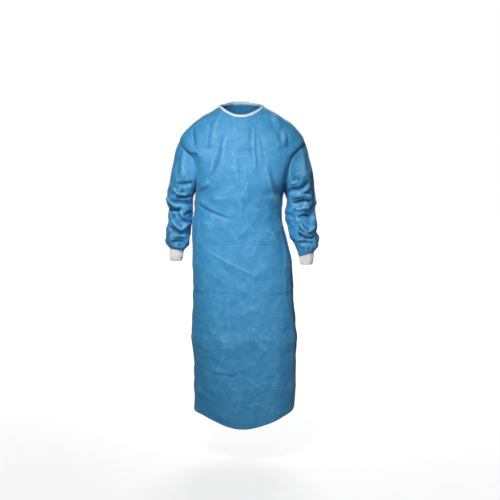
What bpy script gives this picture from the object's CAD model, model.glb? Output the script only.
import math

import bpy
import mathutils
import numpy as np
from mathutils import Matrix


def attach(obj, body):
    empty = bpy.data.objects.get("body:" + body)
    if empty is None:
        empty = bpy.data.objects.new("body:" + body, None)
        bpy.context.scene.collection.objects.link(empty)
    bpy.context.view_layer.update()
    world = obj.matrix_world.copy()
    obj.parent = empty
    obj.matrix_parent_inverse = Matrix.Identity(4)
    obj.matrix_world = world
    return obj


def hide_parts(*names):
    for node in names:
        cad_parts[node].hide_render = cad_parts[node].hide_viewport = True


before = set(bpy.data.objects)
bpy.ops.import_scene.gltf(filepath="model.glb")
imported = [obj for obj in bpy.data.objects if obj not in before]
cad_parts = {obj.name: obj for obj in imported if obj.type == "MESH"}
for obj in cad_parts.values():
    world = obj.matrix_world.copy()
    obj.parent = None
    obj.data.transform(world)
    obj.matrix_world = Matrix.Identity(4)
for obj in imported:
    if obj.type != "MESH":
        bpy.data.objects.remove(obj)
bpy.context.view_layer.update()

# ---------------------------------------------------------------------------------------------------------------
# Sizes, in metres. Drops are measured down from the height where the gown rests beside the neck.
# ---------------------------------------------------------------------------------------------------------------
CLOTH_WALL = 0.0009
TIP_DROP = 0.146
ARMPIT_DROP = 0.365
HEM_DROP = 1.315
SEAM_GAP = 0.0003
SLEEVE_CLEAR = 0.0009
FLAP_LIFT = 0.0030
FLAP_COLUMN = math.radians(10)
FLAP_TURN = 11 * FLAP_COLUMN
BINDING_HEIGHT = 0.010
BINDING_THICK = 0.0026
FLOOR_DROP = 1.55
LOOP_BLEND = 0.12
WAIST_DROP = 0.415
TIE_WIDTH = 0.030
TIE_CLEAR = 0.0040
TAIL_LENGTH = 0.24
CUFF_RIBS = 64
CUFF_WALL = 0.0018
CUFF_BULGE = 0.002
CUFF_TUCK = 0.005
KNOT_HALF = (0.019, 0.0085, 0.017)
OFF_ARMHOLE = np.array([0.94, 0.0, -0.33])
FLAP_LEAVES = math.radians(40)
FLAP_LEAVE_SPAN = math.radians(25)
# Places on a flap in tens of degrees from its side seam: the middle of the back is 9
TIE_PLACES = (0.6, 8.9)
TAIL_PLACES = {"right": (8.80, 8.35), "left": (9.20, 9.65)}
TAB_PLACES = (8.6, 10.7)
TAB_DROPS = (0.010, 0.034)

# Sleeve cloth as it settles: how much longer and wider than the arm it was cut, and how far a point may move
UPPER_EASE = 1.03
LOWER_EASE = 1.38
GIRTH_EASE = 1.03
CLOTH_BENDING = 0.08
SLEEVE_PRESSURE = 0.3
SETTLE_FRAMES = 45
MOST_MOVE = 0.024
MOST_MOVE_INSIDE = 0.008

# Colours, linear
CLOTH_DEEP = (0.026, 0.235, 0.500, 1)
CLOTH_PALE = (0.046, 0.305, 0.585, 1)
CLOTH_FIBRE = (0.110, 0.400, 0.680, 1)
CLOTH_BOND = (0.020, 0.190, 0.440, 1)
CLOTH_WORN = (0.150, 0.450, 0.720, 1)
CLOTH_VALLEY = (0.005, 0.090, 0.250, 1)
KNIT_WHITE = (0.920, 0.875, 0.890, 1)
KNIT_SHADE = (0.660, 0.620, 0.640, 1)
KNIT_FUZZ = (0.960, 0.940, 0.950, 1)
TAPE_PALE = (0.700, 0.810, 0.900, 1)
TAPE_SHADE = (0.590, 0.720, 0.850, 1)
TAPE_BOND = (0.360, 0.500, 0.680, 1)

# Studio: each light's name, place, target, size, power and colour
CAMERA_PLACE = (0.033, -4.2, -0.14)
CAMERA_PITCH = 6.5
CAMERA_LENS = 69.7
WORLD_FILL = 0.10
FLOOR_NEAR = 0.98
FLOOR_TONE = (0.30, 0.30, 0.30, 1)
LIGHTS = (
    ("key", (-0.60, -2.2, 1.20), (-0.05, -0.15, -0.38), 0.6, 42, 4.7, (1.0, 0.99, 0.97)),
    ("low_key", (-0.60, -2.5, -0.10), (0.0, -0.15, -0.95), 0.7, 60, 1.25, (1.0, 0.99, 0.98)),
    ("fill", (1.9, -2.6, 0.2), (0.0, 0.0, -0.6), 1.6, 180, 5.0, (0.97, 0.99, 1.0)),
    ("low_fill", (1.3, -2.4, -1.1), (0.15, 0.0, -1.2), 1.0, 50, 0.9, (0.98, 0.99, 1.0)),
    ("behind", (0.3, 2.6, 0.9), (0.0, 0.0, -0.5), 1.6, 180, 70.0, (1.0, 1.0, 1.0)),
)

# Grid counts
SHOULDER_ROWS = 26
ARMHOLE_ROWS = 76
SKIRT_ROWS = 184
FRONT_COLUMNS = 160
BACK_COLUMNS = 82
SLEEVE_ROWS = 150

# Body sections: start drop at the side, half width, sideways shift, extra drop of the front and back middles,
# where the middles are, where the panels' edges are along the armhole, and squareness (2 is an ellipse)
BODY_COLUMNS = (
    "drop", "half_width", "shift", "front_sag", "back_sag", "front_y", "back_y", "front_edge", "back_edge", "square",
)
BODY_ROWS = (
    (0.000, 0.097, -0.004, 0.045, -0.016, -0.086, 0.066, 0.000, 0.000, 2.0),
    (0.037, 0.160, -0.001, 0.052, 0.000, -0.108, 0.090, 0.000, 0.000, 2.0),
    (0.077, 0.216, 0.000, 0.052, 0.012, -0.124, 0.106, 0.000, 0.000, 2.0),
    (0.146, 0.267, -0.002, 0.045, 0.014, -0.138, 0.120, 0.000, 0.000, 2.1),
    (0.180, 0.243, -0.002, 0.042, 0.014, -0.143, 0.124, -0.040, 0.044, 2.2),
    (0.215, 0.210, 0.000, 0.036, 0.012, -0.148, 0.127, -0.061, 0.066, 2.3),
    (0.265, 0.195, 0.001, 0.028, 0.010, -0.152, 0.128, -0.069, 0.074, 2.4),
    (0.320, 0.190, -0.004, 0.020, 0.008, -0.154, 0.124, -0.055, 0.060, 2.4),
    (0.365, 0.189, -0.010, 0.015, 0.006, -0.154, 0.118, 0.000, 0.000, 2.4),
    (0.420, 0.187, -0.018, 0.012, 0.004, -0.153, 0.110, 0.000, 0.000, 2.4),
    (0.485, 0.193, -0.021, 0.012, 0.004, -0.154, 0.110, 0.000, 0.000, 2.5),
    (0.570, 0.207, -0.013, 0.014, 0.005, -0.157, 0.117, 0.000, 0.000, 2.6),
    (0.670, 0.215, -0.003, 0.018, 0.006, -0.161, 0.125, 0.000, 0.000, 2.7),
    (0.850, 0.218, 0.003, 0.026, 0.010, -0.166, 0.131, 0.000, 0.000, 2.8),
    (1.000, 0.224, 0.005, 0.034, 0.014, -0.169, 0.134, 0.000, 0.000, 2.7),
    (1.125, 0.221, 0.009, 0.042, 0.018, -0.171, 0.136, 0.000, 0.000, 2.6),
    (1.315, 0.220, 0.008, 0.057, 0.024, -0.174, 0.138, 0.000, 0.000, 2.4),
)
# Sleeve sections: distance along the arm, outer and inner end of the tilted oval, its front and its back
SLEEVE_COLUMNS = ("along", "outer_x", "outer_drop", "inner_x", "inner_drop", "front_y", "back_y")
SLEEVE_TABLES = {
    "left": (
        (0.00, 0.266, 0.148, 0.180, 0.366, -0.068, 0.074),
        (0.05, 0.287, 0.212, 0.190, 0.388, -0.077, 0.081),
        (0.11, 0.301, 0.268, 0.190, 0.415, -0.078, 0.082),
        (0.18, 0.311, 0.335, 0.186, 0.440, -0.074, 0.080),
        (0.25, 0.317, 0.405, 0.184, 0.468, -0.070, 0.075),
        (0.32, 0.318, 0.465, 0.192, 0.500, -0.068, 0.067),
        (0.39, 0.328, 0.530, 0.200, 0.545, -0.067, 0.058),
        (0.44, 0.334, 0.572, 0.221, 0.582, -0.064, 0.050),
        (0.47, 0.332, 0.597, 0.234, 0.611, -0.057, 0.040),
        (0.50, 0.311, 0.624, 0.247, 0.645, -0.042, 0.024),
    ),
    "right": (
        (0.00, 0.268, 0.148, 0.200, 0.366, -0.068, 0.074),
        (0.05, 0.291, 0.208, 0.212, 0.388, -0.077, 0.081),
        (0.11, 0.305, 0.265, 0.215, 0.418, -0.078, 0.082),
        (0.18, 0.315, 0.325, 0.217, 0.445, -0.074, 0.080),
        (0.25, 0.325, 0.395, 0.218, 0.475, -0.069, 0.076),
        (0.32, 0.318, 0.450, 0.223, 0.505, -0.066, 0.070),
        (0.39, 0.328, 0.520, 0.227, 0.545, -0.064, 0.062),
        (0.44, 0.332, 0.565, 0.230, 0.580, -0.061, 0.054),
        (0.47, 0.331, 0.588, 0.238, 0.601, -0.055, 0.044),
        (0.50, 0.315, 0.609, 0.257, 0.621, -0.040, 0.026),
    ),
}
# Cuffs: how far the lower end is from the upper one, outwards and up, at the outside and the inside of the wrist
CUFF_ENDS = {
    "left": ((-0.006, -0.054), (0.006, -0.034)),
    "right": ((0.001, -0.053), (0.008, -0.042)),
}

# Folds: a path of places, a half width, a height out of the cloth, how sharp the crest is (0 soft, 1 a crease) and
# how much steeper one flank is than the other. Places are X and Z on a panel.
FOLD_COLUMNS = ("path", "width", "height", "sharp", "skew")
ARMHOLE_FILL = 0.012
FOLD_DEPTH_TOP, FOLD_DEPTH_SKIRT = 1.0, 0.8  # shares of the rows' heights, above the waist and below it
CRUMPLE_SLOPES = (0.034, 0.026)  # flanks of the large and the small crumpling
SLEEVE_SLOPES = (0.110, 0.080)
SLEEVE_FOLD_DEPTH = 1.7
PRESSED_AGAIN = 0.45  # share of a sleeve fold that is put back after the cloth has settled
PANEL_RELIEF, SLEEVE_RELIEF = 0.0045, 0.0020  # heights above the cloth round it at which a ridge is fully worn pale
FRONT_FOLDS = (
    # from the shoulders and along the armholes
    (((-0.206, -0.082), (-0.204, -0.125), (-0.197, -0.180)), 0.008, -0.0060, 0.5, 0.3),
    (((-0.205, -0.186), (-0.194, -0.240), (-0.190, -0.330)), 0.013, -0.010, 0.2, 0.3),
    (((0.190, -0.100), (0.193, -0.140), (0.192, -0.180)), 0.008, -0.0050, 0.4, -0.3),
    (((0.192, -0.235), (0.186, -0.300), (0.176, -0.350), (0.166, -0.410)), 0.012, -0.010, 0.2, -0.3),
    (((-0.124, -0.049), (-0.138, -0.110), (-0.146, -0.190)), 0.006, -0.0030, 0.6, 0.2),
    (((-0.104, -0.046), (-0.114, -0.110), (-0.126, -0.180)), 0.009, 0.0028, 0.3, 0.0),
    (((-0.087, -0.100), (-0.091, -0.171), (-0.113, -0.258), (-0.160, -0.335)), 0.009, -0.0045, 0.5, -0.3),
    (((-0.070, -0.110), (-0.080, -0.200), (-0.105, -0.290)), 0.012, 0.003, 0.2, 0.0),
    (((0.112, -0.032), (0.128, -0.075), (0.152, -0.118)), 0.006, -0.0036, 0.6, 0.3),
    (((0.128, -0.030), (0.160, -0.090), (0.186, -0.150)), 0.008, 0.003, 0.4, 0.0),
    (((0.172, -0.076), (0.160, -0.120), (0.168, -0.170)), 0.007, -0.0034, 0.5, 0.2),
    # long folds down the chest
    (((0.041, -0.065), (0.034, -0.167), (0.050, -0.260)), 0.006, -0.0028, 0.5, 0.2),
    (((0.058, -0.056), (0.061, -0.192), (0.067, -0.275)), 0.006, -0.0026, 0.5, -0.2),
    (((0.074, -0.110), (0.089, -0.192), (0.100, -0.235)), 0.006, -0.0028, 0.5, 0.2),
    (((0.050, -0.070), (0.048, -0.180), (0.058, -0.270)), 0.006, 0.0024, 0.4, 0.0),
    (((0.099, -0.235), (0.115, -0.314), (0.136, -0.390), (0.161, -0.430), (0.168, -0.475)), 0.014, 0.0060, 0.4, 0.4),
    (((0.120, -0.250), (0.140, -0.330), (0.160, -0.395)), 0.014, -0.0060, 0.2, 0.0),
    (((-0.027, -0.205), (-0.024, -0.270), (-0.018, -0.345)), 0.006, 0.0024, 0.6, 0.2),
    (((-0.046, -0.190), (-0.044, -0.280), (-0.030, -0.350)), 0.009, -0.0020, 0.2, 0.0),
    (((-0.014, -0.375), (-0.006, -0.420), (0.000, -0.470)), 0.006, 0.0022, 0.6, 0.0),
    (((0.030, -0.300), (0.012, -0.350), (-0.008, -0.390)), 0.006, 0.0022, 0.6, 0.0),
    (((0.010, -0.220), (0.014, -0.300), (0.022, -0.400)), 0.008, 0.0018, 0.4, 0.0),
    (((-0.133, -0.310), (-0.160, -0.335), (-0.188, -0.356)), 0.008, 0.0045, 0.4, 0.2),
    (((-0.120, -0.200), (-0.128, -0.270), (-0.136, -0.320)), 0.008, 0.0030, 0.5, 0.2),
    # waist and hips
    (((-0.196, -0.400), (-0.160, -0.428), (-0.110, -0.448), (-0.035, -0.475)), 0.007, -0.0050, 0.5, 0.5),
    (((-0.190, -0.385), (-0.140, -0.420), (-0.090, -0.440)), 0.012, 0.0030, 0.2, 0.0),
    (((0.020, -0.480), (0.055, -0.530), (0.085, -0.556)), 0.006, 0.0022, 0.6, 0.0),
    (((0.138, -0.480), (0.112, -0.520), (0.085, -0.556)), 0.006, 0.0022, 0.6, 0.0),
    (((0.084, -0.556), (0.060, -0.590), (0.034, -0.636)), 0.006, 0.0020, 0.6, 0.0),
    (((-0.160, -0.598), (-0.100, -0.632), (-0.020, -0.671), (0.078, -0.720)), 0.0055, 0.0032, 0.9, 0.3),
    (((-0.150, -0.640), (-0.060, -0.690), (0.030, -0.740)), 0.022, -0.0026, 0.0, 0.0),
    (((0.150, -0.500), (0.172, -0.600), (0.176, -0.700)), 0.014, -0.0040, 0.2, 0.0),
    # the skirt
    (((0.190, -0.560), (0.182, -0.680), (0.184, -0.790), (0.194, -0.870), (0.203, -0.940)), 0.010, 0.0050, 0.5, 0.4),
    (((0.036, -0.925), (0.066, -0.955), (0.099, -0.988)), 0.0055, 0.0026, 0.8, 0.2),
    (((0.126, -0.945), (0.112, -0.965), (0.099, -0.988)), 0.0055, 0.0026, 0.8, 0.0),
    (((0.108, -1.010), (0.078, -1.055), (0.030, -1.112)), 0.0055, 0.0030, 0.9, 0.3),
    (((0.000, -1.140), (0.045, -1.170), (0.096, -1.203)), 0.0055, 0.0030, 0.9, 0.3),
    (((0.020, -1.118), (-0.020, -1.135), (-0.060, -1.142)), 0.007, -0.0022, 0.5, 0.0),
    (((-0.204, -1.020), (-0.170, -1.034), (-0.128, -1.048)), 0.007, -0.0034, 0.5, 0.4),
    (((-0.206, -1.100), (-0.135, -1.126), (-0.070, -1.136), (-0.010, -1.144)), 0.007, -0.0034, 0.5, 0.4),
    (((-0.200, -1.190), (-0.150, -1.215), (-0.100, -1.250)), 0.008, -0.0026, 0.4, 0.3),
    (((-0.020, -1.275), (0.030, -1.268), (0.078, -1.262), (0.098, -1.292)), 0.006, 0.0020, 0.6, 0.2),
    (((0.075, -1.322), (0.095, -1.300), (0.114, -1.268)), 0.006, 0.0026, 0.7, 0.2),
    (((-0.026, -1.330), (0.000, -1.338), (0.020, -1.342)), 0.006, 0.0020, 0.6, 0.0),
    (((0.206, -0.930), (0.190, -0.945), (0.170, -0.968)), 0.006, -0.0030, 0.5, 0.3),
    (((0.216, -1.040), (0.196, -1.052), (0.172, -1.070)), 0.006, -0.0030, 0.5, 0.3),
    (((0.216, -1.160), (0.198, -1.182), (0.178, -1.208)), 0.006, -0.0030, 0.5, 0.3),
    (((0.130, -1.000), (0.150, -1.100), (0.140, -1.220)), 0.018, 0.0030, 0.2, 0.0),
    (((-0.060, -0.780), (-0.062, -0.900), (-0.058, -1.000)), 0.008, 0.0014, 0.5, 0.0),
    (((-0.120, -0.860), (-0.132, -0.980)), 0.020, 0.0022, 0.0, 0.0),
)
BACK_FOLDS = (
    (((-0.205, -0.150), (-0.195, -0.250), (-0.165, -0.350)), 0.016, -0.0070, 0.2, 0.2),
    (((0.205, -0.150), (0.195, -0.250), (0.160, -0.350)), 0.016, -0.0070, 0.2, -0.2),
    (((-0.130, -0.080), (-0.120, -0.200), (-0.080, -0.330)), 0.014, -0.0050, 0.3, 0.2),
    (((0.130, -0.080), (0.125, -0.190), (0.090, -0.320)), 0.014, -0.0050, 0.3, -0.2),
    (((-0.060, -0.060), (-0.050, -0.200), (-0.030, -0.360)), 0.010, 0.0030, 0.4, 0.0),
    (((0.070, -0.070), (0.055, -0.210), (0.040, -0.360)), 0.010, 0.0030, 0.4, 0.0),
    (((-0.180, -0.340), (-0.110, -0.375), (-0.040, -0.395)), 0.010, -0.0050, 0.4, 0.4),
    (((0.170, -0.330), (0.110, -0.372), (0.040, -0.392)), 0.010, -0.0050, 0.4, 0.4),
    (((-0.190, -0.460), (-0.120, -0.455), (-0.050, -0.440)), 0.009, -0.0045, 0.4, -0.4),
    (((0.170, -0.470), (0.110, -0.460), (0.050, -0.442)), 0.009, -0.0045, 0.4, -0.4),
    (((-0.060, -0.450), (-0.090, -0.560), (-0.110, -0.700), (-0.120, -0.900)), 0.016, 0.0060, 0.3, 0.2),
    (((0.020, -0.450), (0.010, -0.600), (0.020, -0.800)), 0.014, -0.0045, 0.3, 0.0),
    (((0.080, -0.450), (0.105, -0.580), (0.120, -0.760), (0.125, -1.000)), 0.016, 0.0060, 0.3, -0.2),
    (((-0.030, -0.460), (-0.045, -0.620), (-0.050, -0.860)), 0.014, -0.0045, 0.3, 0.0),
    (((-0.160, -0.520), (-0.170, -0.700), (-0.160, -0.950)), 0.020, -0.0050, 0.2, 0.0),
    (((0.160, -0.520), (0.172, -0.720), (0.160, -0.980)), 0.020, -0.0050, 0.2, 0.0),
    (((-0.150, -0.860), (-0.090, -0.900), (-0.020, -0.920)), 0.006, 0.0026, 0.8, 0.2),
    (((0.050, -0.960), (0.100, -1.010), (0.140, -1.080)), 0.006, 0.0026, 0.8, 0.2),
    (((-0.120, -1.080), (-0.070, -1.130), (-0.040, -1.190)), 0.006, 0.0026, 0.8, 0.2),
    (((0.030, -1.120), (0.085, -1.160), (0.120, -1.220)), 0.006, -0.0026, 0.6, 0.2),
)
# Sleeve folds, as X (outwards from the body) and Z, seen from the front
SLEEVE_FOLDS = {
    "right": (
        (((0.283, -0.322), (0.240, -0.328), (0.205, -0.320)), 0.0085, -0.0060, 0.5, 0.3),
        (((0.275, -0.362), (0.253, -0.336)), 0.0070, 0.0040, 0.7, 0.0),
        (((0.300, -0.344), (0.275, -0.370), (0.223, -0.374)), 0.0075, 0.0050, 0.8, 0.2),
        (((0.292, -0.384), (0.250, -0.386), (0.212, -0.382)), 0.0080, -0.0050, 0.5, 0.0),
        (((0.318, -0.398), (0.266, -0.405), (0.214, -0.422)), 0.0090, -0.0090, 0.5, 0.3),
        (((0.335, -0.385), (0.300, -0.418), (0.262, -0.430)), 0.0090, 0.0060, 0.6, 0.2),
        (((0.330, -0.434), (0.290, -0.440), (0.262, -0.436)), 0.0090, -0.0070, 0.4, 0.0),
        (((0.270, -0.444), (0.249, -0.476)), 0.0080, 0.0050, 0.7, 0.2),
        (((0.256, -0.462), (0.215, -0.452)), 0.0080, -0.0055, 0.5, 0.0),
        (((0.310, -0.476), (0.266, -0.521), (0.232, -0.492)), 0.0085, 0.0060, 0.8, 0.2),
        (((0.322, -0.506), (0.286, -0.534), (0.250, -0.548)), 0.0080, -0.0060, 0.5, 0.3),
        (((0.300, -0.556), (0.268, -0.550), (0.236, -0.560)), 0.0075, 0.0040, 0.6, 0.0),
        (((0.310, -0.578), (0.270, -0.574), (0.238, -0.584)), 0.0075, -0.0045, 0.5, 0.0),
        (((0.236, -0.170), (0.252, -0.240), (0.256, -0.310)), 0.0200, 0.0040, 0.4, 0.3),
    ),
    "left": (
        (((0.298, -0.306), (0.260, -0.340), (0.230, -0.353), (0.187, -0.366)), 0.0090, -0.0100, 0.5, 0.3),
        (((0.204, -0.327), (0.247, -0.314)), 0.0075, 0.0040, 0.6, 0.0),
        (((0.306, -0.330), (0.262, -0.362), (0.225, -0.374)), 0.0080, 0.0050, 0.7, 0.2),
        (((0.212, -0.383), (0.268, -0.375), (0.304, -0.392)), 0.0085, 0.0060, 0.7, 0.2),
        (((0.212, -0.414), (0.264, -0.396), (0.304, -0.410)), 0.0085, -0.0080, 0.5, 0.3),
        (((0.222, -0.440), (0.262, -0.430), (0.300, -0.438)), 0.0085, 0.0045, 0.5, 0.0),
        (((0.230, -0.470), (0.272, -0.460), (0.310, -0.465)), 0.0085, -0.0065, 0.5, 0.3),
        (((0.243, -0.490), (0.280, -0.533), (0.312, -0.504)), 0.0085, 0.0060, 0.8, 0.2),
        (((0.234, -0.538), (0.276, -0.560), (0.324, -0.558)), 0.0080, -0.0065, 0.5, 0.3),
        (((0.234, -0.582), (0.275, -0.578), (0.320, -0.582)), 0.0070, -0.0050, 0.5, 0.0),
        (((0.244, -0.170), (0.262, -0.240), (0.272, -0.310)), 0.0200, 0.0044, 0.4, 0.3),
    ),
}
# Pack creases: level lines where the gown was folded flat, by drop, with a height and the reach of their slope
PACK_COLUMNS = ("drop", "height", "reach", "line")
PACK_CREASES = (
    (0.176, -0.0016, 0.030, -0.0014),
    (0.380, 0.0012, 0.035, 0.0006),
    (0.581, -0.0016, 0.035, -0.0013),
    (0.790, -0.0020, 0.035, -0.0020),
    (0.996, 0.0060, 0.045, -0.0018),
    (1.200, 0.0012, 0.040, 0.0006),
)
# Soft flutes that hang down the whole gown: turn round the body in degrees (0 at the wearer's right side, 90 at the
# front, 180 at the left side), where each starts and ends, half width in degrees, and height
FLUTE_COLUMNS = ("turn", "from_drop", "to_drop", "degrees", "height")
FLUTES = (
    (-14, 0.50, 1.30, 7, 0.0060),
    (8, 0.46, 1.20, 8, -0.0050),
    (22, 0.62, 1.36, 8, 0.0035),
    (40, 0.70, 1.36, 10, -0.0025),
    (66, 0.80, 1.40, 9, 0.0020),
    (104, 0.90, 1.40, 10, -0.0022),
    (128, 0.80, 1.40, 10, 0.0025),
    (152, 0.55, 1.30, 7, 0.0045),
    (166, 0.42, 1.05, 8, -0.0140),
    (184, 0.50, 1.35, 7, 0.0060),
    (200, 0.60, 1.35, 8, -0.0060),
    (222, 0.70, 1.40, 9, 0.0050),
    (330, 0.60, 1.40, 9, 0.0050),
    (318, 0.70, 1.40, 9, -0.0050),
)


# ---------------------------------------------------------------------------------------------------------------
# Shapes
# ---------------------------------------------------------------------------------------------------------------
def smooth_column(rows, columns, name, at):
    """A table's column read at `at`: cubic pieces through its rows, with flat tangents at peaks, so none overshoots."""
    table = np.array(rows)
    places, values = table[:, 0], table[:, columns.index(name)]
    steps = np.diff(places)
    slopes = np.diff(values) / steps
    product = slopes[:-1] * slopes[1:]
    total = np.where(product > 0, slopes[:-1] + slopes[1:], 1.0)
    inner = np.where(product > 0, 2 * product / total, 0.0)
    tangents = np.concatenate([slopes[:1], inner, slopes[-1:]])
    index = np.clip(np.searchsorted(places, at, side="right") - 1, 0, len(steps) - 1)
    t = (at - places[index]) / steps[index]
    leave, arrive = tangents[index] * steps[index], tangents[index + 1] * steps[index]
    return (
        values[index] * (2 * t**3 - 3 * t**2 + 1)
        + leave * (t**3 - 2 * t**2 + t)
        + values[index + 1] * (3 * t**2 - 2 * t**3)
        + arrive * (t**3 - t**2)
    )


def smooth_step(share):
    """0 below 0, 1 above 1, and 3s^2 - 2s^3 between."""
    share = np.clip(share, 0.0, 1.0)
    return share * share * (3 - 2 * share)


def unit(vectors):
    return vectors / np.maximum(np.linalg.norm(vectors, axis=-1, keepdims=True), 1e-9)


def body_surface(turn, drop, half):
    """The plain body cloth: each section is a superellipse |x|^n + |y|^n = 1, stretched to the table's sizes, and its
    middle hangs lower by the sag times a power of the sine of the turn (0 at the -X seam, pi at the +X seam)."""
    turn, drop = np.broadcast_arrays(turn, drop)
    column = {name: smooth_column(BODY_ROWS, BODY_COLUMNS, name, drop) for name in BODY_COLUMNS}
    across, out = -np.cos(turn), np.sin(turn)
    reach = (np.abs(across) ** column["square"] + np.abs(out) ** column["square"]) ** (-1 / column["square"])
    edge = column[half + "_edge"]
    x = column["shift"] + column["half_width"] * across * reach
    y = edge + (column[half + "_y"] - edge) * out * reach
    z = -drop - column[half + "_sag"] * np.maximum(out, 0.0) ** (2 + 2 * drop / HEM_DROP)
    return np.stack([x, y, z], axis=-1)


def grid_normals(points, outward_y):
    """Unit cross product of the grid's two directions, turned so that its mean Y has the sign asked for."""
    normal = unit(np.cross(np.gradient(points, axis=0), np.gradient(points, axis=1)))
    return normal * np.sign(normal[..., 1].mean()) * outward_y


def smooth_path(places, count):
    """A Catmull-Rom curve through a few places, as `count` points."""
    places = np.array(places, dtype=float)
    if len(places) == 2:
        share = np.linspace(0.0, 1.0, count)[:, None]
        return places[0] * (1 - share) + places[1] * share
    padded = np.concatenate([[2 * places[0] - places[1]], places, [2 * places[-1] - places[-2]]])
    at = np.linspace(0.0, len(places) - 1 - 1e-9, count)
    index = at.astype(int)
    t = (at - index)[:, None]
    before, start, end, after = (padded[index + step] for step in range(4))
    return 0.5 * (
        2 * start
        + (end - before) * t
        + (2 * before - 5 * start + 4 * end - after) * t**2
        + (3 * start - before - 3 * end + after) * t**3
    )


def path_distance(across, along, path):
    """For each place the signed distance to the nearest stretch of a path, and the share of the path reached there."""
    nearest = np.full(across.shape, np.inf)
    signed, share = np.zeros(across.shape), np.zeros(across.shape)
    stretches = len(path) - 1
    for index in range(stretches):
        start, run = path[index], path[index + 1] - path[index]
        length = np.hypot(*run)
        part = np.clip(((across - start[0]) * run[0] + (along - start[1]) * run[1]) / length**2, 0.0, 1.0)
        away_across, away_along = across - start[0] - part * run[0], along - start[1] - part * run[1]
        distance = np.hypot(away_across, away_along)
        side = np.sign(away_across * run[1] - away_along * run[0])
        closer = distance < nearest
        nearest = np.where(closer, distance, nearest)
        signed = np.where(closer, distance * side, signed)
        share = np.where(closer, (index + part) / stretches, share)
    return signed, share


def fold_relief(across, along, folds):
    """Height of all the folds, and how creased the cloth is: each fold is a bell curve of the distance to its path,
    mixed with a pointed exponential where it is sharp, wider on one flank than the other, and dying out at its ends."""
    height, crease = np.zeros(across.shape), np.zeros(across.shape)
    for row in folds:
        fold = dict(zip(FOLD_COLUMNS, row))
        signed, share = path_distance(across, along, smooth_path(fold["path"], 10))
        width = fold["width"] * (1 + fold["skew"] * np.tanh(3 * signed / fold["width"]))
        away = np.abs(signed) / width
        ends = smooth_step(share / 0.22) * smooth_step((1 - share) / 0.22)
        point = np.exp(-(np.sqrt(away**2 + 0.05) - math.sqrt(0.05)) * 1.4)
        profile = (1 - fold["sharp"]) * np.exp(-(away**2)) + fold["sharp"] * point
        height += fold["height"] * profile * ends
        crease += np.sign(fold["height"]) * fold["sharp"] * np.exp(-((signed / (0.45 * fold["width"])) ** 2)) * ends
    return height, crease


def pack_relief(across, drop):
    """Level creases from the pack: a tent of the distance to each line, whose crest is pinched, and wanders a little."""
    height, crease = np.zeros(across.shape), np.zeros(across.shape)
    for row in PACK_CREASES:
        line = dict(zip(PACK_COLUMNS, row))
        wander = 0.004 * np.sin(11 * across + 40 * line["drop"]) + 0.002 * np.sin(31 * across + 9 * line["drop"])
        away = np.abs(drop - line["drop"] - wander)
        broken = 0.55 + 0.45 * np.sin(23 * across + 60 * line["drop"]) * np.sin(9 * across - 15 * line["drop"])
        height += line["height"] * np.exp(-((away / line["reach"]) ** 1.5))
        height += line["line"] * np.exp(-away / 0.005) * broken
        crease += np.sign(line["line"]) * np.exp(-((away / 0.003) ** 2)) * broken
    return height, crease


def flute_relief(turn_degrees, drop):
    """Soft hanging flutes: a bell curve of the turn round the body, faded in and out over its drops."""
    height = np.zeros(np.broadcast(turn_degrees, drop).shape)
    for row in FLUTES:
        flute = dict(zip(FLUTE_COLUMNS, row))
        away = (turn_degrees - flute["turn"] + 180) % 360 - 180
        length = flute["to_drop"] - flute["from_drop"]
        share = (drop - flute["from_drop"]) / length
        fade = smooth_step(share / 0.35) * smooth_step((1.05 - share) / 0.2)
        height += flute["height"] * np.exp(-((away / flute["degrees"]) ** 2)) * fade
    return height


def crumple(across, along, seed, size, slope, waves=12):
    """Crisp crumpling into flat facets: a sum of saw-tooth waves |2 frac(t) - 1| in random directions, with lengths near
    `size` and flanks as steep as `slope`, bent a little by slower waves and each present only in patches. Also gives
    where the crests are, as thin lines."""
    rng = np.random.default_rng(seed)
    total = np.zeros(np.broadcast(across, along).shape)
    lines = np.zeros(total.shape)
    for _ in range(waves):
        angle, phase, bend, patch = rng.uniform(0, 2 * math.pi, 4)
        pitch = size * rng.uniform(0.6, 1.9)
        level = across * math.cos(angle) + along * math.sin(angle)
        other = along * math.cos(angle) - across * math.sin(angle)
        warped = level + 0.10 * pitch * np.sin(2 * math.pi * other / (3.7 * pitch) + bend)
        saw = np.abs(2 * ((warped / pitch + phase) % 1.0) - 1)
        present = (0.5 + 0.5 * np.sin(2 * math.pi * (0.6 * level + 0.8 * other) / (3.3 * pitch) + patch)) ** 1.5
        total += (saw - 0.5) * present * pitch
        lines += smooth_step((saw - 1) * pitch / 0.008 + 1) * smooth_step((present - 0.5) / 0.4)
    return total * slope / 2, lines


def blurred(values, times, ring=False):
    """A grid averaged with its neighbours, 1 2 1 in each direction, a number of times."""
    for _ in range(times):
        wide = np.pad(values, ((0, 0), (1, 1)), mode="wrap" if ring else "edge")
        values = (wide[:, :-2] + 2 * wide[:, 1:-1] + wide[:, 2:]) / 4
        wide = np.pad(values, ((1, 1), (0, 0)), mode="edge")
        values = (wide[:-2] + 2 * wide[1:-1] + wide[2:]) / 4
    return values


def worn_lines(height, creases, size, ring=False):
    """How much each point stands above (+) or below (-) the cloth round it, with the creases' own share added."""
    relief = (height - blurred(height, 12, ring)) / size
    return np.clip(relief + creases, -1, 1)


def panel_drops():
    """Row drops of the body panels: even runs to the shoulder tip, to the armpit and to the hem."""
    return np.concatenate([
        np.linspace(0.0, TIP_DROP, SHOULDER_ROWS + 1),
        np.linspace(TIP_DROP, ARMPIT_DROP, ARMHOLE_ROWS + 1)[1:],
        np.linspace(ARMPIT_DROP, HEM_DROP, SKIRT_ROWS + 1)[1:],
    ])


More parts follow.
